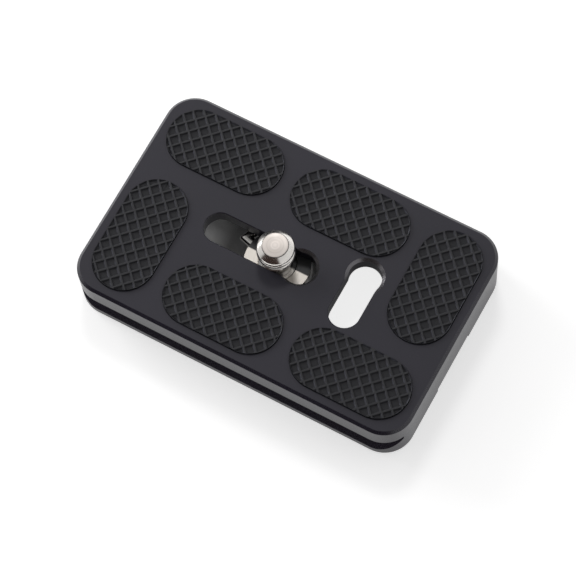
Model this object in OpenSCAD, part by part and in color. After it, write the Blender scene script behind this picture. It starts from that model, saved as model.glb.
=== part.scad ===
// Quick release plate for a dovetail camera clamp.
// X runs along the plate, Y across it, Z up through the camera screw.
// The origin is the middle of the underside, and all sizes are millimetres.

/* [Plate] */
// Length of the plate
plate_l = 60; // [58:1:90]
// Width of the plate over the dovetail lips
plate_w = 38; // [38:1:50]
// Height of the plate
plate_h = 9.5; // [9.5:0.5:14]
// Radius of the four upright corners
corner_r = 5; // [4:0.5:7]
// Chamfer round the top edge
top_chamfer = 0.5; // [0.2:0.1:1]
// Chamfer round the bottom edge
base_chamfer = 0.25; // [0.1:0.05:0.5]

/* [Dovetail] */
// Height of the upright outer face of each lip
lip_h = 1.5; // [1:0.1:2]
// Depth of the side grooves, whose lower flank rises at 45 degrees
groove_depth = 3; // [2:0.1:3.4]
// Height of the groove's mouth
groove_mouth = 3.75; // [3.5:0.05:4.5]

/* [Slots] */
// Left end centre of the main slot
main_slot_x = -12.3; // [-13:0.1:-10]
// Distance from the left end centre to the keyhole of the main slot
main_slot_run = 14.6; // [12:0.1:15]
// Place of the cross slot along the plate
cross_slot_x = 12.3; // [12:0.1:13]
// Distance between the end centres of the cross slot
cross_slot_run = 6.9; // [5:0.1:7]
// Chamfer round the mouth of each slot
slot_rim = 0.12; // [0.05:0.01:0.15]
// Thickness of the web that the slots are cut through
web_t = 2.75; // [2.5:0.05:3.2]

/* [Underside] */
// Width of the channel along the underside
channel_w = 10.6; // [8:0.1:12]
// Depth of the channel along the underside
channel_depth = 1.1; // [1:0.05:1.4]
// Room between the folded ring and the pocket wall
pocket_gap = 0.8; // [0.3:0.05:1.2]

/* [Pads] */
// Width of each rubber pad, whose ends are full rounds
pad_w = 10.4; // [9:0.1:10.6]
// Distance from a pad to the plate's edge
pad_margin = 1.8; // [1.5:0.05:2]
// Distance between the pads of one row
row_space = 2.6; // [2:0.1:4]
// Distance from a side pad's end to the row across from it
side_space = 3.6; // [2:0.1:5]
// Depth of the recess that each pad is glued into
pad_seat = 1; // [0.6:0.1:1.1]
// Gap between a pad and the wall of its recess
pad_gap = 0.1; // [0.05:0.01:0.15]
// Height of the floor between the ribs above the plate
pad_proud = 0.05; // [0.02:0.01:0.2]
// Height of the ribs above that floor
rib_h = 0.25; // [0.15:0.05:0.4]
// Width of the ribs
rib_w = 0.42; // [0.3:0.02:0.6]
// Distance from one rib to the next
rib_pitch = 1.69; // [1.5:0.01:2.2]

/* [Camera screw] */
// Place of the screw along the main slot
screw_x = -1.85; // [-11:0.05:2]
// Angle that the screw and its ring stand turned by
screw_angle = -16; // [-180:1:180]
// Diameter over the thread
thread_d = 6.35; // [6:0.05:6.5]
// Height of the screw's tip above the plate
stud_reach = 4.5; // [3.5:0.1:5.5]
// Diameter of the flat on the tip
tip_flat_d = 4.3; // [3.5:0.1:5]
// Height of the first thread above the plate
thread_lift = 0.35; // [0.2:0.05:0.6]
// Diameter of the neck that slides in the slot
neck_d = 4.9; // [4.5:0.05:5.1]
// Gap on each side of the neck in the slot
neck_gap = 0.15; // [0.1:0.01:0.2]
// Depth of the thread in each keyhole, which the screw is turned in through
thread_depth = 0.425; // [0.3:0.025:0.5]
// Chamfer round the mouth of each keyhole
keyhole_rim = 0.5; // [0.3:0.05:0.6]
// Diameter of the head
head_d = 11; // [10:0.1:11.5]
// Height of the head
head_h = 3.2; // [3:0.05:3.4]
// Chamfer on the head's edges
head_chamfer = 0.3; // [0.1:0.05:0.4]
// Width of the coin slot under the head
coin_w = 1.6; // [1:0.1:2]
// Depth of the coin slot under the head
coin_depth = 0.9; // [0.5:0.05:1.2]

/* [Washer] */
// Outer diameter of the thin washer
washer_d = 11; // [10:0.1:11.5]
// Thickness of the washer
washer_t = 0.4; // [0.3:0.05:0.6]
// Gap above and below the washer
washer_play = 0.05; // [0.02:0.01:0.1]
// Gap round the head's hub in the washer
hub_gap = 0.05; // [0.03:0.01:0.1]

/* [Ring] */
// Room between the ring and the head that it hangs on
ring_room = 0.8; // [0.5:0.05:0.9]
// Diameter of the ring's wire
wire_d = 1.7; // [1.4:0.05:1.8]
// Radius of the bends where the wire turns into the head
bend_r = 1.1; // [1:0.05:1.5]
// Gap round the wire in its hole
pin_gap = 0.05; // [0.03:0.01:0.1]
// Depth of the wire's end in the head
pin_in = 1.5; // [1.2:0.1:2]
// Distance from the head's top face down to the ring's pivot
pivot_drop = 1.25; // [1.2:0.05:1.4]

/* [Stop screws] */
// Distance from the plate's end to a stop screw
stop_inset = 4.4; // [4:0.1:5]
// Diameter of a stop screw's head
stop_head_d = 4.6; // [4:0.1:5]
// Height of a stop screw's head
stop_head_h = 0.85; // [0.6:0.05:0.9]
// Diameter of a stop screw's shank
stop_shank_d = 2.5; // [2:0.1:3]
// Length of a stop screw's shank
stop_shank_l = 3.6; // [3:0.1:4]
// Gap round a stop screw's shank
stop_gap = 0.05; // [0.03:0.01:0.1]
// Width across the flats of a stop screw's hexagon socket
hex_af = 1.5; // [1.3:0.1:2]
// Depth of the hexagon socket
hex_depth = 0.6; // [0.4:0.05:0.6]

/* [Hidden] */
$fn = 96;
// Overrun of a cut past the face that it breaks through
over = 1;

black_metal = [0.19, 0.19, 0.21];
black_rubber = [0.13, 0.13, 0.14];
nickel = [0.80, 0.78, 0.75];
satin_steel = [0.74, 0.72, 0.69];
dark_steel = [0.30, 0.30, 0.31];

half_l = plate_l / 2;
half_w = plate_w / 2;
groove_top = lip_h + groove_mouth;
web_z = plate_h - web_t;

slot_w = neck_d + 2 * neck_gap;
keyhole_d = thread_d - 2 * thread_depth;
head_r = head_d / 2;
ring_r = head_r + ring_room + wire_d / 2;
pocket_r = ring_r + wire_d / 2 + pocket_gap;

// Pads keep one margin to every edge, and their lengths are what the spaces between them leave
pad_r = pad_w / 2;
row_pad_l = (plate_l - 2 * pad_margin - pad_w - 2 * row_space) / 2;
side_pad_l = plate_w - 2 * pad_margin - pad_w - side_space;
pad_row_y = half_w - pad_margin - pad_r;
pad_corner_x = half_l - pad_margin - row_pad_l / 2;
pad_middle_x = pad_corner_x - row_pad_l - row_space;
pad_side_x = half_l - pad_margin - pad_r;
pad_side_y = half_w - pad_margin - side_pad_l / 2;
cell = rib_pitch - rib_w;

// The screw hangs from the washer under the web
washer_top = web_z - washer_play;
head_top = washer_top - washer_t - washer_play;
hub_d = thread_d;
hub_h = washer_t;
washer_bore = hub_d + 2 * hub_gap;
tip_z = plate_h + stud_reach;
bevel_h = (thread_d - tip_flat_d) / 2;
pivot_z = head_top - pivot_drop;
pin_hole_d = wire_d + 2 * pin_gap;
pin_end = head_r - pin_in;
pin_hole_end = pin_end - pin_gap;

// The bend touches the ring's centre line from inside and the pin line from behind
bend_x = sqrt(pow(ring_r - bend_r, 2) - pow(bend_r, 2));
bend_angle = atan2(bend_r, bend_x);
// What the ball that joins two stretches of wire stands proud of them
join_d = 0.03;

stop_x = half_l - stop_inset;
stop_head_r = stop_head_d / 2;

// Slice of the plate with four round corners, whose outline may grow or shrink evenly with height
module sloped_slice(z0, z1, in0, in1) {
    sx = half_l - corner_r;
    sy = half_w - corner_r;
    translate([0, 0, z0])
        for (x = [-1, 1], y = [-1, 1])
            translate([x * sx, y * sy, 0])
                cylinder(h = z1 - z0, r1 = corner_r - in0, r2 = corner_r - in1);
    rotate([90, 0, 90])
        linear_extrude(2 * sx, center = true)
            polygon([[-half_w + in0, z0], [half_w - in0, z0], [half_w - in1, z1], [-half_w + in1, z1]]);
    rotate([90, 0, 0])
        linear_extrude(2 * sy, center = true)
            polygon([[-half_l + in0, z0], [half_l - in0, z0], [half_l - in1, z1], [-half_l + in1, z1]]);
}

// Outline with two full round ends, from one end centre along X
module slot_outline(run, r) {
    translate([0, -r])
        square([run, 2 * r]);
    circle(r);
    translate([run, 0])
        circle(r);
}

// Block with full round ends, centred
module stadium(l, r, h) {
    run = l - 2 * r;
    linear_extrude(h)
        translate([-run / 2, 0])
            slot_outline(run, r);
}

// Cut for a slot that ends in a keyhole, with the chamfers of both at the plate's top
module keyhole_slot(run) {
    translate([0, 0, web_z - over])
        linear_extrude(web_t + 2 * over) {
            slot_outline(run, slot_w / 2);
            translate([run, 0])
                circle(keyhole_d / 2);
        }
    low = slot_w / 2;
    high = low + 2 * slot_rim;
    translate([0, 0, plate_h - slot_rim]) {
        cylinder(h = 2 * slot_rim, r1 = low, r2 = high);
        rotate([90, 0, 90])
            linear_extrude(run)
                polygon([[-low, 0], [low, 0], [high, 2 * slot_rim], [-high, 2 * slot_rim]]);
    }
    translate([run, 0, plate_h - keyhole_rim])
        cylinder(h = 2 * keyhole_rim, r1 = keyhole_d / 2, r2 = keyhole_d / 2 + 2 * keyhole_rim);
}

// Places a child where each slot starts, turned along its run
module at_main_slot() {
    translate([main_slot_x, 0, 0])
        children();
}

module at_cross_slot() {
    translate([cross_slot_x, -cross_slot_run / 2, 0])
        rotate([0, 0, 90])
            children();
}

// Room under the web for the screw's head and its ring
module pocket(run) {
    translate([0, 0, -over])
        linear_extrude(web_z + over)
            slot_outline(run, pocket_r);
}

// One dovetail groove along the +Y side
module side_groove() {
    y = half_w;
    floor_y = y - groove_depth;
    slope_end = min(lip_h + groove_depth, groove_top);
    rotate([90, 0, 90])
        linear_extrude(plate_l + 2 * over, center = true)
            polygon([[y + over, lip_h - over], [y, lip_h], [floor_y, slope_end],
                     [floor_y, groove_top], [y + over, groove_top]]);
}

// Places a child at the centre of each pad, turned with it
module at_pad(x, y, turn) {
    translate([x, y, 0])
        rotate([0, 0, turn])
            children();
}

module pad_recess(l) {
    translate([0, 0, plate_h - pad_seat])
        stadium(l + 2 * pad_gap, pad_r + pad_gap, pad_seat + over);
}

module stop_bore(side) {
    translate([side * stop_x, 0, 0])
        cylinder(h = channel_depth + stop_shank_l + stop_gap, d = stop_shank_d + 2 * stop_gap);
}

// Places of the three pads of the far half
module far_left_place() {
    at_pad(-pad_corner_x, pad_row_y, 0)
        children();
}

module far_middle_place() {
    at_pad(-pad_middle_x, pad_row_y, 0)
        children();
}

module right_place() {
    at_pad(pad_side_x, pad_side_y, 90)
        children();
}

// The near half of the plate is the far half turned round
module turned_round() {
    rotate([0, 0, 180])
        children();
}

module pad_recesses() {
    for (turn = [0, 180])
        rotate([0, 0, turn]) {
            far_left_place()
                pad_recess(row_pad_l);
            far_middle_place()
                pad_recess(row_pad_l);
            right_place()
                pad_recess(side_pad_l);
        }
}

module plate_body() {
    color(black_metal)
        difference() {
            union() {
                sloped_slice(0, base_chamfer, base_chamfer, 0);
                sloped_slice(base_chamfer, plate_h - top_chamfer, 0, 0);
                sloped_slice(plate_h - top_chamfer, plate_h, 0, top_chamfer);
            }
            side_groove();
            mirror([0, 1, 0])
                side_groove();
            translate([-half_l - over, -channel_w / 2, -over])
                cube([plate_l + 2 * over, channel_w, channel_depth + over]);
            at_main_slot()
                keyhole_slot(main_slot_run);
            at_main_slot()
                pocket(main_slot_run);
            at_cross_slot()
                keyhole_slot(cross_slot_run);
            at_cross_slot()
                pocket(cross_slot_run);
            pad_recesses();
            for (side = [-1, 1])
                stop_bore(side);
        }
}

// Squares between the ribs, on a lattice turned 45 degrees to the plate.
// The lattice starts at shift, which is given in rib pitches.
module cells(l, turn, shift) {
    reach = ceil((l + pad_w) / 2 / rib_pitch);
    rotate([0, 0, 45 - turn])
        for (i = [-reach:reach], j = [-reach:reach]) {
            u = (i + shift[0] + 0.5) * rib_pitch;
            v = (j + shift[1] + 0.5) * rib_pitch;
            a = 45 - turn;
            x = u * cos(a) - v * sin(a);
            y = u * sin(a) + v * cos(a);
            if (norm([max(abs(x) - (l / 2 - pad_r), 0), y]) < pad_r + 0.4 * cell)
                translate([u, v])
                    square(cell, center = true);
        }
}

// Rubber pad: a block glued into its recess, with raised ribs in a diamond grid
module pad(l, turn, shift) {
    color(black_rubber) {
        translate([0, 0, plate_h - pad_seat])
            stadium(l, pad_r, pad_seat + pad_proud);
        translate([0, 0, plate_h + pad_proud])
            linear_extrude(rib_h)
                difference() {
                    translate([pad_r - l / 2, 0])
                        slot_outline(l - pad_w, pad_r);
                    cells(l, turn, shift);
                }
    }
}

module pad_far_left() {
    far_left_place()
        pad(row_pad_l, 0, [0.2, 0.165]);
}

module pad_far_middle() {
    far_middle_place()
        pad(row_pad_l, 0, [0.28, 0.135]);
}

module pad_right() {
    right_place()
        pad(side_pad_l, 90, [0.44, 0.15]);
}

module pad_near_right() {
    turned_round()
        far_left_place()
            pad(row_pad_l, 180, [0.61, 0.47]);
}

module pad_near_middle() {
    turned_round()
        far_middle_place()
            pad(row_pad_l, 180, [0.83, 0.83]);
}

module pad_left() {
    turned_round()
        right_place()
            pad(side_pad_l, 270, [0.12, 0.545]);
}

// Places a child on the screw's axis, turned with the screw
module at_screw() {
    translate([screw_x, 0, 0])
        rotate([0, 0, screw_angle])
            children();
}

// Captive screw, turned from one bar
module camera_screw() {
    color(nickel)
        at_screw()
            difference() {
                rotate_extrude()
                    polygon([[0, head_top - head_h], [head_r - head_chamfer, head_top - head_h],
                             [head_r, head_top - head_h + head_chamfer], [head_r, head_top - head_chamfer],
                             [head_r - head_chamfer, head_top], [hub_d / 2, head_top],
                             [hub_d / 2, head_top + hub_h], [neck_d / 2, head_top + hub_h],
                             [neck_d / 2, plate_h + thread_lift], [thread_d / 2, plate_h + thread_lift],
                             [thread_d / 2, tip_z - bevel_h], [tip_flat_d / 2, tip_z], [0, tip_z]]);
                for (side = [-1, 1])
                    translate([side * pin_hole_end, 0, pivot_z])
                        rotate([0, side * 90, 0])
                            cylinder(h = head_r, d = pin_hole_d);
                translate([-coin_w / 2, -head_d, head_top - head_h - over])
                    cube([coin_w, 2 * head_d, coin_depth + over]);
            }
}

module screw_washer() {
    color(satin_steel)
        translate([screw_x, 0, washer_top - washer_t])
            difference() {
                cylinder(h = washer_t, d = washer_d);
                translate([0, 0, -over])
                    cylinder(h = washer_t + 2 * over, d = washer_bore);
            }
}

// Wire ring: half a circle whose ends turn inwards into the screw's head
module d_ring() {
    color(nickel)
        at_screw()
            translate([0, 0, pivot_z]) {
                rotate([0, 0, bend_angle])
                    rotate_extrude(angle = 180 - 2 * bend_angle)
                        translate([ring_r, 0])
                            circle(d = wire_d);
                for (side = [0, 1])
                    mirror([side, 0, 0]) {
                        translate([bend_x, bend_r, 0])
                            rotate([0, 0, -90])
                                rotate_extrude(angle = 90 + bend_angle)
                                    translate([bend_r, 0])
                                        circle(d = wire_d);
                        translate([pin_end, 0, 0])
                            rotate([0, 90, 0])
                                cylinder(h = bend_x - pin_end, d = wire_d);
                        translate([bend_x, 0, 0])
                            sphere(d = wire_d + join_d);
                        rotate([0, 0, bend_angle])
                            translate([ring_r, 0, 0])
                                sphere(d = wire_d + join_d);
                    }
            }
}

// Low screw that stops the plate from sliding out of a loose clamp
module stop_screw(side) {
    color(dark_steel)
        translate([side * stop_x, 0, 0])
            difference() {
                union() {
                    translate([0, 0, channel_depth - stop_head_h])
                        cylinder(h = stop_head_h, r = stop_head_r);
                    translate([0, 0, channel_depth])
                        cylinder(h = stop_shank_l, d = stop_shank_d);
                }
                translate([0, 0, channel_depth - stop_head_h - over])
                    cylinder(h = hex_depth + over, d = hex_af / cos(30), $fn = 6);
            }
}

module stop_screw_left() {
    stop_screw(-1);
}

module stop_screw_right() {
    stop_screw(1);
}

plate_body();
pad_far_left();
pad_far_middle();
pad_right();
pad_left();
pad_near_middle();
pad_near_right();
camera_screw();
screw_washer();
d_ring();
stop_screw_left();
stop_screw_right();
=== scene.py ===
"""Looks of the quick release plate: its finishes, threaded screw, ribbed pads, wire ring and studio."""

import math

import bmesh
import bpy
from mathutils import Matrix, Quaternion, Vector


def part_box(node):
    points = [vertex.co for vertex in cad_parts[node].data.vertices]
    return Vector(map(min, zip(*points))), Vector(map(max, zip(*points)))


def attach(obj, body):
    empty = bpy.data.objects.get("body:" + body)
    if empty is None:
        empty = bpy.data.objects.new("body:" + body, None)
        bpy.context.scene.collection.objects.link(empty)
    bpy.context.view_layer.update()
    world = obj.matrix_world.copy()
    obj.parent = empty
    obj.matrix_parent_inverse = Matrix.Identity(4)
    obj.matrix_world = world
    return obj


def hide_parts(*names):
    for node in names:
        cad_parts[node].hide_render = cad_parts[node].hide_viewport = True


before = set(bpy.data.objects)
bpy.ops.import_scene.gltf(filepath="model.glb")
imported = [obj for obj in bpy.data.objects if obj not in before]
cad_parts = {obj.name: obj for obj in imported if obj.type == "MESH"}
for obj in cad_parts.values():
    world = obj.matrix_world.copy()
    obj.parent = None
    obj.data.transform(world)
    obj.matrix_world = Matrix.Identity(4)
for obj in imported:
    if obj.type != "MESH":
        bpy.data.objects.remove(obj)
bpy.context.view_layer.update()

bl_info = {
    "name": "Quick release plate",
    "version": (1, 0, 0),
    "blender": (4, 5, 0),
    "location": "View3D > Sidebar > Plate",
    "description": "Builds the finishes and the fine parts of a quick release plate",
    "category": "Object",
}

MM = 0.001
# Centres of the two keyholes
KEYHOLES = ((2.3 * MM, 0.0), (12.3 * MM, 3.45 * MM))
STOP_SCREWS = ("stop_screw_left", "stop_screw_right")
PLATE_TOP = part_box("plate_body")[1].z
PAD_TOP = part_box("pad_left")[1].z
WASHER_LOW, WASHER_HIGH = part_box("screw_washer")
SCREW_LOW, SCREW_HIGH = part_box("camera_screw")
SCREW_X = (SCREW_LOW.x + SCREW_HIGH.x) / 2
SCREW_AXIS = Vector((SCREW_X, 0, 0))
# How far the screw is turned at rest
SCREW_TURN = math.radians(-16)


# Settings


class PlateFinish(bpy.types.PropertyGroup):
    metal_color: bpy.props.FloatVectorProperty(
        name="Metal colour", description="Colour of the black anodised plate",
        subtype="COLOR", size=3, min=0, max=1, default=(0.0125, 0.0108, 0.0205))
    metal_roughness: bpy.props.FloatProperty(
        name="Metal roughness", description="Roughness of the blasted surface",
        min=0, max=1, default=0.58)
    wall_roughness: bpy.props.FloatProperty(
        name="Wall roughness", description="Roughness of the milled walls",
        min=0, max=1, default=0.28)
    grain: bpy.props.FloatProperty(
        name="Grain", description="Size of the blasted grain",
        unit="LENGTH", min=0, default=0.09 * MM)
    rubber_color: bpy.props.FloatVectorProperty(
        name="Rubber colour", description="Colour of the rubber pads",
        subtype="COLOR", size=3, min=0, max=1, default=(0.0090, 0.0091, 0.0120))


class PadRelief(bpy.types.PropertyGroup):
    rib_pitch: bpy.props.FloatProperty(
        name="Rib pitch", description="Distance from one rib to the next",
        unit="LENGTH", min=0.0005, default=1.69 * MM)
    rib_width: bpy.props.FloatProperty(
        name="Rib width", description="Width of a rib at its top",
        unit="LENGTH", min=0.0001, default=0.22 * MM)
    rib_height: bpy.props.FloatProperty(
        name="Rib height", description="Height of a rib above the floor of a cell",
        unit="LENGTH", min=0.00005, default=0.25 * MM)
    draft: bpy.props.FloatProperty(
        name="Draft", description="How far a rib's side leans out to the floor",
        unit="LENGTH", min=0, default=0.2 * MM)
    edge_round: bpy.props.FloatProperty(
        name="Edge round", description="Rounding of the moulded edges",
        unit="LENGTH", min=0, default=0.04 * MM)


class ScrewShape(bpy.types.PropertyGroup):
    thread_diameter: bpy.props.FloatProperty(
        name="Thread diameter", description="Diameter over the thread's crests",
        unit="LENGTH", min=0.001, default=6.2 * MM)
    thread_pitch: bpy.props.FloatProperty(
        name="Thread pitch", description="Rise of one turn of the thread",
        unit="LENGTH", min=0.0002, default=1.27 * MM)
    thread_depth: bpy.props.FloatProperty(
        name="Thread depth", description="Depth of the thread",
        unit="LENGTH", min=0.0001, default=0.55 * MM)
    tip_diameter: bpy.props.FloatProperty(
        name="Tip diameter", description="Diameter of the flat on the tip",
        unit="LENGTH", min=0.001, default=4.2 * MM)
    neck_diameter: bpy.props.FloatProperty(
        name="Neck diameter", description="Diameter of the neck that slides in the slot",
        unit="LENGTH", min=0.001, default=4.9 * MM)
    head_height: bpy.props.FloatProperty(
        name="Head height", description="Height of the head under the washer",
        unit="LENGTH", min=0.001, default=3.2 * MM)
    coin_width: bpy.props.FloatProperty(
        name="Coin slot width", description="Width of the slot across the head",
        unit="LENGTH", min=0.0005, default=1.6 * MM)
    coin_depth: bpy.props.FloatProperty(
        name="Coin slot depth", description="Depth of the slot across the head",
        unit="LENGTH", min=0.0002, default=0.9 * MM)


class RingShape(bpy.types.PropertyGroup):
    wire_diameter: bpy.props.FloatProperty(
        name="Wire diameter", description="Thickness of the ring's wire",
        unit="LENGTH", min=0.0005, default=1.7 * MM)
    bow_radius: bpy.props.FloatProperty(
        name="Bow radius", description="Radius of the bow along the middle of the wire",
        unit="LENGTH", min=0.004, default=7.15 * MM)
    pin_start: bpy.props.FloatProperty(
        name="Pin start", description="Distance from the screw's axis to a pin's inner end",
        unit="LENGTH", min=0.001, default=4.0 * MM)
    corner_round: bpy.props.FloatProperty(
        name="Corner round", description="Rounding of the corner between a pin and the bow",
        unit="LENGTH", min=0.00005, default=0.2 * MM)


class StudioSetup(bpy.types.PropertyGroup):
    floor_size: bpy.props.FloatProperty(
        name="Floor size", description="Width of the pale floor",
        unit="LENGTH", min=0.1, default=3)
    side_level: bpy.props.FloatProperty(
        name="Room sides", description="Brightness of the pale room low round the object",
        min=0, default=0.85)
    top_level: bpy.props.FloatProperty(
        name="Room top", description="Brightness of the room over the object",
        min=0, default=0.27)
    key_power: bpy.props.FloatProperty(
        name="Key light", description="Power of the light above and behind the object",
        min=0, default=0.68)
    left_power: bpy.props.FloatProperty(
        name="Left light", description="Power of the soft light on the left",
        min=0, default=1.0)


# Shader maths


class Wire:
    """A shader value that takes part in Python arithmetic."""

    def __init__(self, net, socket):
        self.net = net
        self.socket = socket

    def _math(self, operation, first, second):
        return self.net.node("ShaderNodeMath", {"operation": operation}, {0: first, 1: second})

    def __add__(self, other):
        return self._math("ADD", self, other)

    def __radd__(self, other):
        return self._math("ADD", other, self)

    def __sub__(self, other):
        return self._math("SUBTRACT", self, other)

    def __rsub__(self, other):
        return self._math("SUBTRACT", other, self)

    def __mul__(self, other):
        return self._math("MULTIPLY", self, other)

    def __rmul__(self, other):
        return self._math("MULTIPLY", other, self)

    def __gt__(self, other):
        return self._math("GREATER_THAN", self, other)

    def __lt__(self, other):
        return self._math("LESS_THAN", self, other)

    def __abs__(self):
        return self.net.node("ShaderNodeMath", {"operation": "ABSOLUTE"}, {0: self})

    def root(self):
        return self.net.node("ShaderNodeMath", {"operation": "SQRT"}, {0: self})

    def at_least(self, other):
        return self._math("MAXIMUM", self, other)

    def at_most(self, other):
        return self._math("MINIMUM", self, other)


class Net:
    """A material's or the world's node tree."""

    def __init__(self, tree):
        self.tree = tree
        tree.nodes.clear()

    def raw(self, kind, settings=None, inputs=None):
        made = self.tree.nodes.new(kind)
        for name, value in (settings or {}).items():
            setattr(made, name, value)
        for name, value in (inputs or {}).items():
            socket = made.inputs[name]
            if isinstance(value, Wire):
                self.tree.links.new(value.socket, socket)
            else:
                socket.default_value = value
        return made

    def node(self, kind, settings=None, inputs=None, output=0):
        return Wire(self, self.raw(kind, settings, inputs).outputs[output])

    def place(self):
        return self.node("ShaderNodeTexCoord", output="Object")

    def axes(self, vector):
        split = self.raw("ShaderNodeSeparateXYZ", inputs={0: vector})
        return [Wire(self, split.outputs[i]) for i in range(3)]

    def ray(self, kind):
        return self.node("ShaderNodeLightPath", output=kind)

    def noise(self, vector, scale, detail=3.0):
        return self.node("ShaderNodeTexNoise", {"noise_dimensions": "3D"},
                         {"Vector": vector, "Scale": scale, "Detail": detail})

    def lines(self, along, scale):
        """Fine uneven lines across one measure, as a lathe leaves them."""
        return self.node("ShaderNodeTexNoise", {"noise_dimensions": "1D"},
                         {"W": along, "Scale": scale, "Detail": 2.0})

    def ramp(self, factor, low, high, out_low=0.0, out_high=1.0):
        return self.node("ShaderNodeMapRange", {"clamp": True},
                         {"Value": factor, "From Min": low, "From Max": high,
                          "To Min": out_low, "To Max": out_high})

    def blend(self, factor, first, second):
        return self.node("ShaderNodeMix", {"data_type": "RGBA"},
                         {"Factor": factor, 6: first, 7: second}, output=2)

    def bump(self, height, strength, distance):
        return self.node("ShaderNodeBump",
                         inputs={"Height": height, "Strength": strength, "Distance": distance})

    def surface(self, **inputs):
        names = {key.replace("_", " "): value for key, value in inputs.items()}
        self.finish(self.node("ShaderNodeBsdfPrincipled", inputs=names))

    def finish(self, shader, kind="ShaderNodeOutputMaterial"):
        self.raw(kind, inputs={"Surface": shader})


def rgba(color, gain=1.0):
    """A colour for a socket, made lighter or darker by the gain."""
    return (*(c * gain for c in color), 1.0)


def distance(x, y, centre):
    """How far a point is from an upright axis."""
    across, along = x - centre[0], y - centre[1]
    return (across * across + along * along).root()


def outside(x, y, half_length, half_width):
    """How far a point lies outside a rectangle round the origin, negative inside it."""
    return (abs(x) - half_length).at_least(abs(y) - half_width)


def new_material(name, build):
    material = bpy.data.materials.new(name)
    material.use_nodes = True
    build(Net(material.node_tree))
    return material


# Materials

# The countersink of a keyhole is cut through the anodising and shines
COUNTERSINK_RADIUS = 3.26 * MM
COUNTERSINK_DEPTH = 0.52 * MM
BARE_ALUMINIUM = (0.16, 0.155, 0.165)
NICKEL_DARK, NICKEL_LIGHT = (0.66, 0.635, 0.605), (0.74, 0.715, 0.685)
FACED_DARK, FACED_LIGHT = (0.60, 0.55, 0.51), (0.74, 0.68, 0.64)
TIP_EDGE_DARK_REFLECTION = (0.16, 0.15, 0.145)
NECK_SHADE = (0.05, 0.05, 0.05)
WASHER_STEEL, WASHER_SHADE = (0.66, 0.62, 0.57), (0.016, 0.016, 0.018)
WIRE_PLATING = (0.78, 0.76, 0.73)
OXIDE_DARK, OXIDE_LIGHT = (0.03, 0.03, 0.032), (0.06, 0.06, 0.063)


def anodised_black(net):
    """Bead-blasted black anodised aluminium, smoother on its milled walls than on its top."""
    finish = bpy.context.scene.plate_finish
    place = net.place()
    x, y, z = net.axes(place)
    grain = net.noise(place, 1 / finish.grain, detail=2.0)
    cloud = net.noise(place, 90.0)
    color = net.blend(net.ramp(cloud, 0.35, 0.65),
                      rgba(finish.metal_color, 0.93), rgba(finish.metal_color, 1.10))
    near = [distance(x, y, centre) for centre in KEYHOLES]
    rim = ((near[0].at_most(near[1]) < COUNTERSINK_RADIUS)
           * (z > PLATE_TOP - COUNTERSINK_DEPTH) * (z < PLATE_TOP - 0.02 * MM))
    color = net.blend(rim, color, rgba(BARE_ALUMINIUM))
    top = net.ramp(z, PLATE_TOP - 0.05 * MM, PLATE_TOP - 0.01 * MM)
    roughness = (net.ramp(grain, 0.3, 0.7, -0.04, 0.05)
                 + top * (finish.metal_roughness - finish.wall_roughness) + finish.wall_roughness)
    net.surface(Base_Color=color, Roughness=roughness, Metallic=rim * 0.8, IOR=1.52,
                Normal=net.bump(grain, 0.18, 0.02 * MM))


def pad_rubber(net):
    """Matt moulded rubber, smoother on its rib tops, with painted sheen on the rib tops and painted
    light on the rib slopes that face left.
    """
    finish = bpy.context.scene.plate_finish
    place = net.place()
    _, _, z = net.axes(place)
    speck = net.noise(place, 9000.0)
    cloud = net.noise(place, 900.0)
    top = net.ramp(z, PAD_TOP - 0.14 * MM, PAD_TOP - 0.01 * MM)
    # Painted sheen: the rib tops are coloured lighter than the cell floors, on top of the random cloud
    # tone
    cell, rib, slope_light = [rgba(finish.rubber_color, gain) for gain in (1.1, 1.28, 5.0)]
    color = net.blend(net.ramp(cloud, 0.3, 0.7, 0.0, 0.22) + top * 0.78, cell, rib)
    # Painted light: rib slopes that face left and near are coloured much lighter, in speckles, standing
    # in for light from that side
    across, along, _ = net.axes(net.node("ShaderNodeTexCoord", output="Normal"))
    lit_slopes = net.ramp(across + along, -0.15, -0.7) * net.ramp(cloud, 0.4, 0.6, 0.3, 1.0)
    color = net.blend(lit_slopes, color, slope_light)
    roughness = net.ramp(speck, 0.3, 0.7, 0.66, 0.8) - top * 0.2
    net.surface(Base_Color=color, Roughness=roughness, IOR=1.5,
                Normal=net.bump(speck, 0.3, 0.04 * MM))


def turned_nickel(net):
    """Nickel over turned steel: fine rings round the screw's own axis."""
    place = net.place()
    x, y, z = net.axes(place)
    radius = distance(x, y, SCREW_AXIS)
    # Facing marks on the flat tip, and turning marks elsewhere
    facing = net.lines(radius, 2600.0)
    turning = net.lines(z, 5200.0)
    smear = net.noise(place, 700.0)
    flat = net.ramp(z, SCREW_HIGH.z - 0.06 * MM, SCREW_HIGH.z - 0.02 * MM)
    color = net.blend(flat,
                      net.blend(net.ramp(smear, 0.3, 0.7), rgba(NICKEL_DARK), rgba(NICKEL_LIGHT)),
                      net.blend(net.ramp(facing, 0.35, 0.65), rgba(FACED_DARK), rgba(FACED_LIGHT)))
    # A painted dark line at the edge of the flat stands in for the dark reflection where the flat meets
    # the bevel
    edge = bpy.context.scene.screw_shape.tip_diameter / 2
    line = (abs(radius - edge - 0.03 * MM) < 0.06 * MM) * (z > SCREW_HIGH.z - 0.2 * MM)
    color = net.blend(line, color, rgba(TIP_EDGE_DARK_REFLECTION))
    # Painted shade: the far half of the neck, below the plate's top, is darkened as the slot's shade
    painted_shade = net.ramp(z, PLATE_TOP + 0.3 * MM, PLATE_TOP) * net.ramp(y, 0.0, 0.4 * MM)
    color = net.blend(painted_shade, color, rgba(NECK_SHADE))
    net.surface(Base_Color=color, Metallic=1.0,
                Roughness=net.ramp(smear, 0.3, 0.7, 0.12, 0.22) + 0.28 * flat,
                Normal=net.bump(facing * flat + turning * (1 - flat), 0.12, 0.01 * MM))


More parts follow.
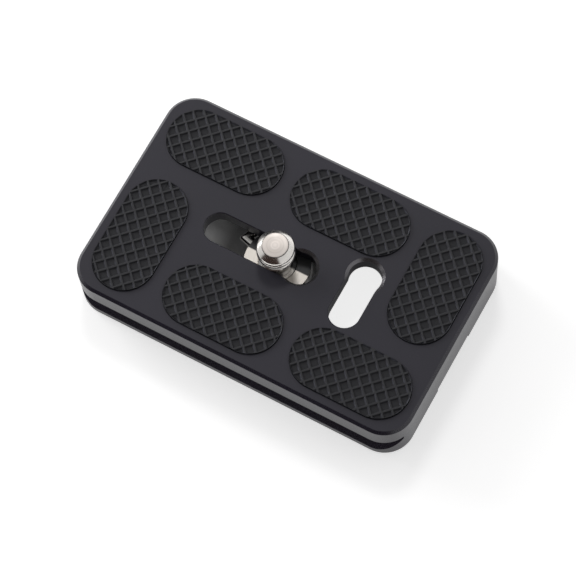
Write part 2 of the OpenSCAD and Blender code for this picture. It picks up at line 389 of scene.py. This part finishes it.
def satin_washer(net):
    """Satin steel with faint rings from facing, and painted shade: the far half of its top is coloured
    dark as the slot's shade.
    """
    x, y, z = net.axes(net.place())
    facing = net.lines(distance(x, y, SCREW_AXIS), 4000.0)
    # Painted shade: the far half of the top is coloured dark and less metallic, standing in for the
    # slot's shade
    painted_shade = net.ramp(y, 0.1 * MM, 0.3 * MM) * (z > WASHER_HIGH.z - 0.05 * MM)
    net.surface(Base_Color=net.blend(painted_shade, rgba(WASHER_STEEL), rgba(WASHER_SHADE)),
                Metallic=1 - painted_shade * 0.9, Roughness=net.ramp(facing, 0.3, 0.7, 0.34, 0.44),
                Normal=net.bump(facing, 0.15, 0.01 * MM))


def polished_wire(net):
    """Polished plated wire with light scuffs."""
    scuff = net.noise(net.place(), 2200.0, detail=4.0)
    net.surface(Base_Color=rgba(WIRE_PLATING), Metallic=1.0,
                Roughness=net.ramp(scuff, 0.4, 0.75, 0.16, 0.3),
                Normal=net.bump(scuff, 0.05, 0.02 * MM))


def black_oxide(net):
    """Black oxide steel of the small stop screws."""
    speck = net.noise(net.place(), 5200.0)
    net.surface(Base_Color=net.blend(net.ramp(speck, 0.3, 0.7), rgba(OXIDE_DARK), rgba(OXIDE_LIGHT)),
                Metallic=0.6, Roughness=net.ramp(speck, 0.3, 0.7, 0.28, 0.4),
                Normal=net.bump(speck, 0.1, 0.02 * MM))


# Mesh helpers


def finish_piece(name, mesh_builder, material, smooth_angle=math.radians(35)):
    """Turns a filled bmesh into an object of its own, at the origin."""
    mesh = bpy.data.meshes.new(name)
    bmesh.ops.remove_doubles(mesh_builder, verts=mesh_builder.verts, dist=1e-8)
    bmesh.ops.recalc_face_normals(mesh_builder, faces=mesh_builder.faces)
    mesh_builder.to_mesh(mesh)
    mesh_builder.free()
    piece = bpy.data.objects.new(name, mesh)
    bpy.context.scene.collection.objects.link(piece)
    mesh.materials.append(material)
    mesh.shade_smooth()
    mesh.set_sharp_from_angle(angle=smooth_angle)
    return piece


def apply_modifiers(piece):
    """Gives the piece the mesh that its modifiers make of it."""
    graph = bpy.context.evaluated_depsgraph_get()
    mesh = bpy.data.meshes.new_from_object(piece.evaluated_get(graph))
    piece.modifiers.clear()
    old = piece.data
    piece.data = mesh
    mesh.name = old.name
    bpy.data.meshes.remove(old)
    mesh.set_sharp_from_angle(angle=math.radians(30))


def only(geometry, kind):
    """The vertices, edges or faces among mixed geometry."""
    return [item for item in geometry if isinstance(item, kind)]


def open_edges(bm):
    return [edge for edge in bm.edges if edge.is_boundary]


def dress_cad_node(name, material):
    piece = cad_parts[name]
    piece.data.materials.clear()
    piece.data.materials.append(material)


# Rubber pads

# Phases of each pad's two sets of ribs, as shares of the rib pitch
PAD_SHIFTS = {
    "pad_far_left": (0.2, 0.165),
    "pad_far_middle": (0.28, 0.135),
    "pad_right": (0.44, 0.15),
    "pad_near_right": (0.61, 0.47),
    "pad_near_middle": (0.83, 0.83),
    "pad_left": (0.12, 0.545),
}
# Ribs on each side of a pad's middle, which is more than any pad has
RIB_REACH = 12
# Smaller cells at a pad's edge stay filled
SMALLEST_CELL = (0.2 * MM) ** 2


def stadium_face(bm, low, high, height):
    """One face with two full round ends that fills the box from low to high."""
    size = high - low
    segments = 96
    radius = min(size.x, size.y) / 2
    along = Vector((1, 0, 0)) if size.x > size.y else Vector((0, 1, 0))
    run = max(size.x, size.y) / 2 - radius
    middle = (low + high) / 2
    made = bmesh.ops.create_circle(bm, cap_ends=True, radius=radius, segments=segments,
                                   matrix=Matrix.Rotation(math.pi / segments, 4, "Z"))
    for sign in (-1, 1):
        side = [v for v in made["verts"] if sign * v.co.dot(along) > 0]
        bmesh.ops.translate(bm, verts=side, vec=sign * run * along)
    bmesh.ops.translate(bm, verts=bm.verts, vec=(middle.x, middle.y, height))


def cut_lattice(bm, middle, relief, shift):
    """Cuts the face along both sides of every rib, and returns the faces between the ribs."""
    for number, angle in enumerate((45, 135)):
        across = Vector((math.cos(math.radians(angle)), math.sin(math.radians(angle)), 0))
        for i in range(-RIB_REACH, RIB_REACH + 1):
            for side in (-0.5, 0.5):
                offset = (i + shift[number]) * relief.rib_pitch + side * relief.rib_width
                bmesh.ops.bisect_plane(bm, geom=bm.verts[:] + bm.edges[:] + bm.faces[:],
                                       dist=1e-8, plane_co=middle + offset * across, plane_no=across)
    cells = []
    half_rib = relief.rib_width / relief.rib_pitch / 2
    for face in bm.faces:
        spot = face.calc_center_median() - middle
        u = (spot.x + spot.y) / math.sqrt(2) / relief.rib_pitch - shift[0]
        v = (spot.y - spot.x) / math.sqrt(2) / relief.rib_pitch - shift[1]
        if min(abs(u - round(u)), abs(v - round(v))) > half_rib:
            cells.append(face)
    return cells


def build_pad(name, shift, material):
    """A moulded pad: ribs on a diamond grid, with drafted cells and rounded edges."""
    relief = bpy.context.scene.pad_relief
    low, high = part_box(name)
    middle = Vector(((low.x + high.x) / 2, (low.y + high.y) / 2, high.z))
    bm = bmesh.new()
    stadium_face(bm, low, high, high.z)
    cells = [f for f in cut_lattice(bm, middle, relief, shift) if f.calc_area() > SMALLEST_CELL]
    bmesh.ops.inset_individual(bm, faces=cells, thickness=relief.draft, depth=0, use_even_offset=True)
    floors = {v for f in cells for v in f.verts}
    bmesh.ops.translate(bm, verts=list(floors), vec=(0, 0, -relief.rib_height))
    wall = bmesh.ops.extrude_edge_only(bm, edges=open_edges(bm))
    skirt = only(wall["geom"], bmesh.types.BMVert)
    bmesh.ops.translate(bm, verts=skirt, vec=(0, 0, low.z - high.z))
    bmesh.ops.contextual_create(bm, geom=open_edges(bm))
    piece = finish_piece(name + "_rubber", bm, material, math.radians(30))
    rounding = piece.modifiers.new("moulded_edges", "BEVEL")
    rounding.width = relief.edge_round
    rounding.segments = 2
    rounding.limit_method = "ANGLE"
    rounding.angle_limit = math.radians(30)
    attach(piece, "plate")
    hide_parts(name)


# Camera screw


def lathe(bm, profile, segments=128):
    """Spins a profile of (radius, height) points round the screw's axis."""
    points = [bm.verts.new((SCREW_X + r, 0, z)) for r, z in profile]
    edges = [bm.edges.new(pair) for pair in zip(points, points[1:])]
    bmesh.ops.spin(bm, geom=points + edges, cent=SCREW_AXIS, axis=(0, 0, 1),
                   angle=2 * math.pi, steps=segments, use_merge=True)


def rounded(profile, radius, steps=3):
    """The profile with each inner corner replaced by a short arc."""
    result = [profile[0]]
    for before, corner, after in zip(profile, profile[1:], profile[2:]):
        a, b, c = Vector(before), Vector(corner), Vector(after)
        reach = min(radius, (a - b).length * 0.45, (c - b).length * 0.45)
        start = b + (a - b).normalized() * reach
        end = b + (c - b).normalized() * reach
        for i in range(steps + 1):
            t = i / steps
            result.append(tuple((1 - t) ** 2 * start + 2 * t * (1 - t) * b + t ** 2 * end))
    result.append(profile[-1])
    return result


def thread_ridge(bm, shape, bottom, top):
    """One helical ridge that fades into the core at both ends."""
    root = shape.thread_diameter / 2 - shape.thread_depth
    crest = shape.thread_diameter / 2
    half = shape.thread_pitch * 0.47
    flat = shape.thread_pitch * 0.06
    sunk = 0.1 * MM
    outline = [(root - sunk, -half), (root, -half), (crest, -flat),
               (crest, flat), (root, half), (root - sunk, half)]
    face = bm.faces.new([bm.verts.new((SCREW_X + r, 0, bottom + z)) for r, z in outline])
    turns = (top - bottom) / shape.thread_pitch
    steps = 72
    total = int(round(turns * steps))
    bmesh.ops.spin(bm, geom=[face], cent=SCREW_AXIS, axis=(0, 0, 1),
                   dvec=(0, 0, shape.thread_pitch / steps), angle=2 * math.pi * total / steps,
                   steps=total)
    # The ridge takes a quarter turn to rise at its bottom, and half a turn to sink at its top
    rise, fall = 4.0, 2.2
    for v in bm.verts:
        along = (v.co.z - bottom) / (top - bottom)
        fade = min(1.0, max(0.0, along * turns * rise), max(0.0, (1 - along) * turns * fall))
        out = Vector((v.co.x - SCREW_X, v.co.y, 0))
        if out.length > root:
            wanted = root - sunk * 0.5 + (out.length - root + sunk * 0.5) * fade
            out *= wanted / out.length
            v.co.x = SCREW_X + out.x
            v.co.y = out.y


def cut_head(body, shape, head_radius, material):
    """Cuts the two bores for the ring and the coin slot into the screw's head."""
    bore_radius = 0.9 * MM
    bore_length = 4.1 * MM
    bore_middle = head_radius + 0.5 * MM
    pivot = SCREW_LOW.z + shape.head_height - 1.25 * MM
    turned = Matrix.Translation(SCREW_AXIS) @ Matrix.Rotation(SCREW_TURN, 4, "Z")
    cutters = bmesh.new()
    for side in (-1, 1):
        aside = Matrix.Translation((side * bore_middle, 0, pivot))
        bore = aside @ Matrix.Rotation(math.pi / 2, 4, "Y")
        bmesh.ops.create_cone(cutters, cap_ends=True, segments=64, radius1=bore_radius,
                              radius2=bore_radius, depth=bore_length, matrix=turned @ bore)
    slot = Matrix.Diagonal((shape.coin_width, 3 * head_radius, 2 * shape.coin_depth, 1))
    at_bottom = Matrix.Translation((0, 0, SCREW_LOW.z))
    bmesh.ops.create_cube(cutters, size=1, matrix=turned @ at_bottom @ slot)
    cutter = finish_piece("screw_cutter", cutters, material)
    cut = body.modifiers.new("bores", "BOOLEAN")
    cut.operation = "DIFFERENCE"
    cut.solver = "EXACT"
    cut.object = cutter
    apply_modifiers(body)
    bpy.data.objects.remove(cutter)


def build_screw(material):
    """The captive screw: bevelled tip, thread, thin neck, hub and slotted head with ring holes."""
    shape = bpy.context.scene.screw_shape
    head_radius = (SCREW_HIGH.x - SCREW_LOW.x) / 2
    head_bottom = SCREW_LOW.z
    head_top = head_bottom + shape.head_height
    hub_top = head_top + (WASHER_HIGH.z - WASHER_LOW.z)
    crest = shape.thread_diameter / 2
    root = crest - shape.thread_depth
    neck = shape.neck_diameter / 2
    tip = shape.tip_diameter / 2
    tip_z = SCREW_HIGH.z
    thread_bottom = PLATE_TOP + 0.4 * MM
    # The tip's bevel is steeper in its lower part
    bevel_middle = 0.85 * crest + 0.15 * tip
    bevel_bend = tip_z - (bevel_middle - tip)
    bevel_bottom = bevel_bend - 1.6 * (crest - bevel_middle)
    chamfer = 0.3 * MM
    profile = [(head_radius * 0.02, head_bottom), (head_radius - chamfer, head_bottom),
               (head_radius, head_bottom + chamfer), (head_radius, head_top - chamfer),
               (head_radius - chamfer, head_top), (crest, head_top), (crest, hub_top),
               (neck, hub_top), (neck, thread_bottom), (root, thread_bottom + 0.1 * MM),
               (root, bevel_bottom - 0.5 * MM), (crest, bevel_bottom - 0.1 * MM),
               (crest, bevel_bottom), (bevel_middle, bevel_bend), (tip, tip_z), (tip * 0.02, tip_z)]
    bm = bmesh.new()
    lathe(bm, rounded(profile, 0.07 * MM))
    bmesh.ops.holes_fill(bm, edges=open_edges(bm))
    body = finish_piece("camera_screw_turned", bm, material, math.radians(30))
    cut_head(body, shape, head_radius, material)
    bm = bmesh.new()
    thread_ridge(bm, shape, thread_bottom + 0.4 * MM, bevel_bottom - 0.3 * MM)
    # The thread starts on the near side
    bmesh.ops.rotate(bm, cent=SCREW_AXIS, matrix=Matrix.Rotation(math.radians(-150), 3, "Z"),
                     verts=bm.verts)
    ridge = finish_piece("camera_screw_thread", bm, material, math.radians(50))
    for piece in (body, ridge):
        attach(piece, "screw")
    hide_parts("camera_screw")


# Ring


def build_ring(material):
    """The wire ring: two straight legs that pin it to the head, a tight corner each, and a round bow."""
    shape = bpy.context.scene.ring_shape
    low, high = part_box("d_ring")
    # Part of the bow at each end that the straight leg's corner takes up
    corner = math.radians(12)
    bm = bmesh.new()
    bmesh.ops.create_circle(bm, radius=shape.wire_diameter / 2, segments=40)
    for v in bm.verts:
        v.co = Vector((shape.pin_start, v.co.x, v.co.y))

    def draw_on(edges, move):
        made = bmesh.ops.extrude_edge_only(bm, edges=edges)["geom"]
        points = set(only(made, bmesh.types.BMVert))
        for v in points:
            v.co = move(v.co)
        return [e for e in only(made, bmesh.types.BMEdge) if set(e.verts) <= points]

    def outer(co):
        return math.hypot(co.x, co.y)

    first = draw_on(bm.edges[:], lambda co: Vector((shape.bow_radius - co.y, co.y, co.z)))
    edges = draw_on(first, lambda co: Vector((co.x * math.cos(corner), co.x * math.sin(corner), co.z)))
    bow = bmesh.ops.spin(bm, geom=edges, axis=(0, 0, 1), angle=math.pi - 2 * corner, steps=64)
    last = draw_on(only(bow["geom_last"], bmesh.types.BMEdge),
                   lambda co: Vector((-outer(co), shape.bow_radius - outer(co), co.z)))
    draw_on(last, lambda co: Vector((-shape.pin_start, co.y, co.z)))
    bmesh.ops.bevel(bm, geom=first + last, offset=shape.corner_round, segments=3, affect="EDGES",
                    profile=0.5, material=-1)
    bmesh.ops.holes_fill(bm, edges=open_edges(bm))
    place = Matrix.Translation((SCREW_X, 0, (low.z + high.z) / 2)) @ Matrix.Rotation(SCREW_TURN, 4, "Z")
    bmesh.ops.transform(bm, matrix=place, verts=bm.verts)
    ring = finish_piece("d_ring_wire", bm, material, math.radians(50))
    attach(ring, "ring")
    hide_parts("d_ring")


# Studio

CAMERA_PLACE = Vector((90.17, -126.76, 388.53)) * MM
CAMERA_AIM = Vector((2.42, -3.98, 9.5)) * MM
CAMERA_ROLL = math.radians(-7.24)
# Focal length as a share of the picture's width
FOCAL_SHARE = 2570.8 / 576
# Place and width of each light
KEY_LIGHT = ((-0.18, 0.33, 0.52), 0.16)
LEFT_LIGHT = ((-0.4, 0.05, 0.14), 0.25)
WHITE = (1, 1, 1)
# Tint of the room where somebody stands in it
WARM_SHADE = (0.11, 0.075, 0.065)


def build_camera():
    data = bpy.data.cameras.new("photo_camera")
    data.sensor_fit = "HORIZONTAL"
    data.sensor_width = 36
    data.lens = FOCAL_SHARE * data.sensor_width
    camera = bpy.data.objects.new("photo_camera", data)
    bpy.context.scene.collection.objects.link(camera)
    level = (CAMERA_AIM - CAMERA_PLACE).to_track_quat("-Z", "Y")
    camera.rotation_mode = "QUATERNION"
    camera.rotation_quaternion = level @ Quaternion((0, 0, 1), CAMERA_ROLL)
    camera.location = CAMERA_PLACE
    data.clip_start = 0.01
    bpy.context.scene.camera = camera


def add_soft_light(name, place, size, power):
    data = bpy.data.lights.new(name, "AREA")
    data.shape = "DISK"
    data.size = size
    data.energy = power
    lamp = bpy.data.objects.new(name, data)
    bpy.context.scene.collection.objects.link(lamp)
    lamp.location = place
    lamp.rotation_mode = "QUATERNION"
    lamp.rotation_quaternion = (-Vector(place)).to_track_quat("-Z", "Y")


def pale_floor(net):
    """White floor that keeps the object's shadow, with dim ground under the plate; painted light makes
    it glow white under the cross slot and faintly at the main slot's left end, and painted shade dims
    its reflection near the plate.
    """
    camera = net.ray("Is Camera Ray")
    bounced = (net.ray("Is Glossy Ray") + net.ray("Is Transmission Ray")).at_most(1.0)
    x, y, _ = net.axes(net.place())
    under = outside(x, y, 24 * MM, 15 * MM) < 0.0
    # Painted light: under the cross slot the floor glows nearly white for the camera
    cross = outside(x - KEYHOLES[1][0], y, 7.5 * MM, 11 * MM) < 0.0
    # Painted light: under the main slot the floor glows faintly at the left end, standing in for a
    # little light that comes in there
    fade = net.ramp(x, -15.5 * MM, -12.0 * MM, 0.085, 0.0) * net.ramp(y, 3.4 * MM, 1.2 * MM, 0.35, 1.0)
    # Painted shade: the floor's reflection is dimmed where the plate's lip shades it, and again under
    # the plate
    beside = net.ramp(outside(x, y, 30 * MM, 19 * MM), 0.0, 7 * MM, 0.33, 0.72)
    shaded = net.ramp(outside(x, y, 22 * MM, 12 * MM), 0.0, 6 * MM, 0.3, 1.0)
    bright = camera * ((1 - under) * 0.55 + under * (cross * 0.8 + fade)) + bounced * beside * shaded
    white = net.node("ShaderNodeBsdfDiffuse", inputs={"Color": rgba(WHITE, 0.8)})
    glow = net.node("ShaderNodeEmission", inputs={"Color": rgba(WHITE), "Strength": bright})
    lit = net.node("ShaderNodeAddShader", inputs={0: white, 1: glow})
    # From below the floor is clear, so that the underside can be seen
    below = net.node("ShaderNodeNewGeometry", output="Backfacing")
    clear = net.node("ShaderNodeBsdfTransparent")
    net.finish(net.node("ShaderNodeMixShader", inputs={0: below, 1: lit, 2: clear}))


def build_floor(size):
    bm = bmesh.new()
    bmesh.ops.create_grid(bm, x_segments=1, y_segments=1, size=size / 2)
    floor = finish_piece("floor", bm, new_material("pale_floor", pale_floor))


def build_world(studio):
    """A room with pale sides and a dim top, and white where the camera sees it."""
    world = bpy.data.worlds.new("pale_room")
    world.use_nodes = True
    bpy.context.scene.world = world
    net = Net(world.node_tree)
    seen = net.ray("Is Camera Ray")
    x, y, z = net.axes(net.node("ShaderNodeTexCoord", output="Generated"))
    level = net.ramp(z, 0.35, 0.85, studio.side_level, studio.top_level)
    # The side that the picture is taken from is dim, and warm where somebody stands
    near = net.ramp(y, -0.55, -0.85)
    stands = net.ramp(x * 0.05 + y * -1.0, 0.66, 0.74) * net.ramp(z, 0.62, 0.55)
    level = level * (1 - near * 0.5) * (1 - seen) + seen
    tint = net.blend(seen, net.blend(stands, rgba(WHITE), rgba(WARM_SHADE)), rgba(WHITE))
    shade = net.node("ShaderNodeBackground", inputs={"Color": tint, "Strength": level})
    net.finish(shade, "ShaderNodeOutputWorld")


# Operators


class PLATE_OT_body(bpy.types.Operator):
    """Gives the milled plate its black anodised finish"""
    bl_idname = "plate.body"
    bl_label = "Plate body"

    def execute(self, context):
        dress_cad_node("plate_body", new_material("anodised_black", anodised_black))
        return {"FINISHED"}


class PLATE_OT_pads(bpy.types.Operator):
    """Moulds the ribbed rubber pads"""
    bl_idname = "plate.pads"
    bl_label = "Rubber pads"

    def execute(self, context):
        material = new_material("pad_rubber", pad_rubber)
        for name, shift in PAD_SHIFTS.items():
            build_pad(name, shift, material)
        return {"FINISHED"}


class PLATE_OT_screw(bpy.types.Operator):
    """Turns the captive camera screw with its thread"""
    bl_idname = "plate.screw"
    bl_label = "Camera screw"

    def execute(self, context):
        build_screw(new_material("turned_nickel", turned_nickel))
        return {"FINISHED"}


class PLATE_OT_hardware(bpy.types.Operator):
    """Finishes the washer, the ring and the stop screws"""
    bl_idname = "plate.hardware"
    bl_label = "Washer, ring and stop screws"

    def execute(self, context):
        dress_cad_node("screw_washer", new_material("satin_washer", satin_washer))
        build_ring(new_material("polished_wire", polished_wire))
        oxide = new_material("black_oxide", black_oxide)
        for name in STOP_SCREWS:
            dress_cad_node(name, oxide)
        return {"FINISHED"}


class PLATE_OT_stage(bpy.types.Operator):
    """Sets up the floor, the lights and the camera"""
    bl_idname = "plate.stage"
    bl_label = "Studio"

    def execute(self, context):
        studio = context.scene.studio_setup
        context.scene.view_settings.view_transform = "Standard"
        build_camera()
        build_world(studio)
        build_floor(studio.floor_size)
        add_soft_light("key_light", *KEY_LIGHT, studio.key_power)
        add_soft_light("left_light", *LEFT_LIGHT, studio.left_power)
        return {"FINISHED"}


class PLATE_PT_panel(bpy.types.Panel):
    """Lists the steps that build the plate's looks"""
    bl_idname = "PLATE_PT_panel"
    bl_label = "Quick release plate"
    bl_space_type = "VIEW_3D"
    bl_region_type = "UI"
    bl_category = "Plate"

    def draw(self, context):
        for step in STEPS:
            self.layout.operator(step.bl_idname)
        for group in GROUPS:
            settings = getattr(context.scene, group)
            for name in settings.bl_rna.properties.keys():
                if name not in ("rna_type", "name"):
                    self.layout.prop(settings, name)


GROUPS = {
    "plate_finish": PlateFinish,
    "pad_relief": PadRelief,
    "screw_shape": ScrewShape,
    "ring_shape": RingShape,
    "studio_setup": StudioSetup,
}
STEPS = (PLATE_OT_stage, PLATE_OT_body, PLATE_OT_pads, PLATE_OT_screw, PLATE_OT_hardware)


def register():
    for kind in (*GROUPS.values(), *STEPS, PLATE_PT_panel):
        bpy.utils.register_class(kind)
    for name, kind in GROUPS.items():
        setattr(bpy.types.Scene, name, bpy.props.PointerProperty(type=kind))


def unregister():
    for name in GROUPS:
        delattr(bpy.types.Scene, name)
    for kind in reversed((*GROUPS.values(), *STEPS, PLATE_PT_panel)):
        bpy.utils.unregister_class(kind)


def main():
    register()
    bpy.ops.plate.stage()
    bpy.ops.plate.body()
    bpy.ops.plate.pads()
    bpy.ops.plate.screw()
    bpy.ops.plate.hardware()


if __name__ == "__main__":
    main()
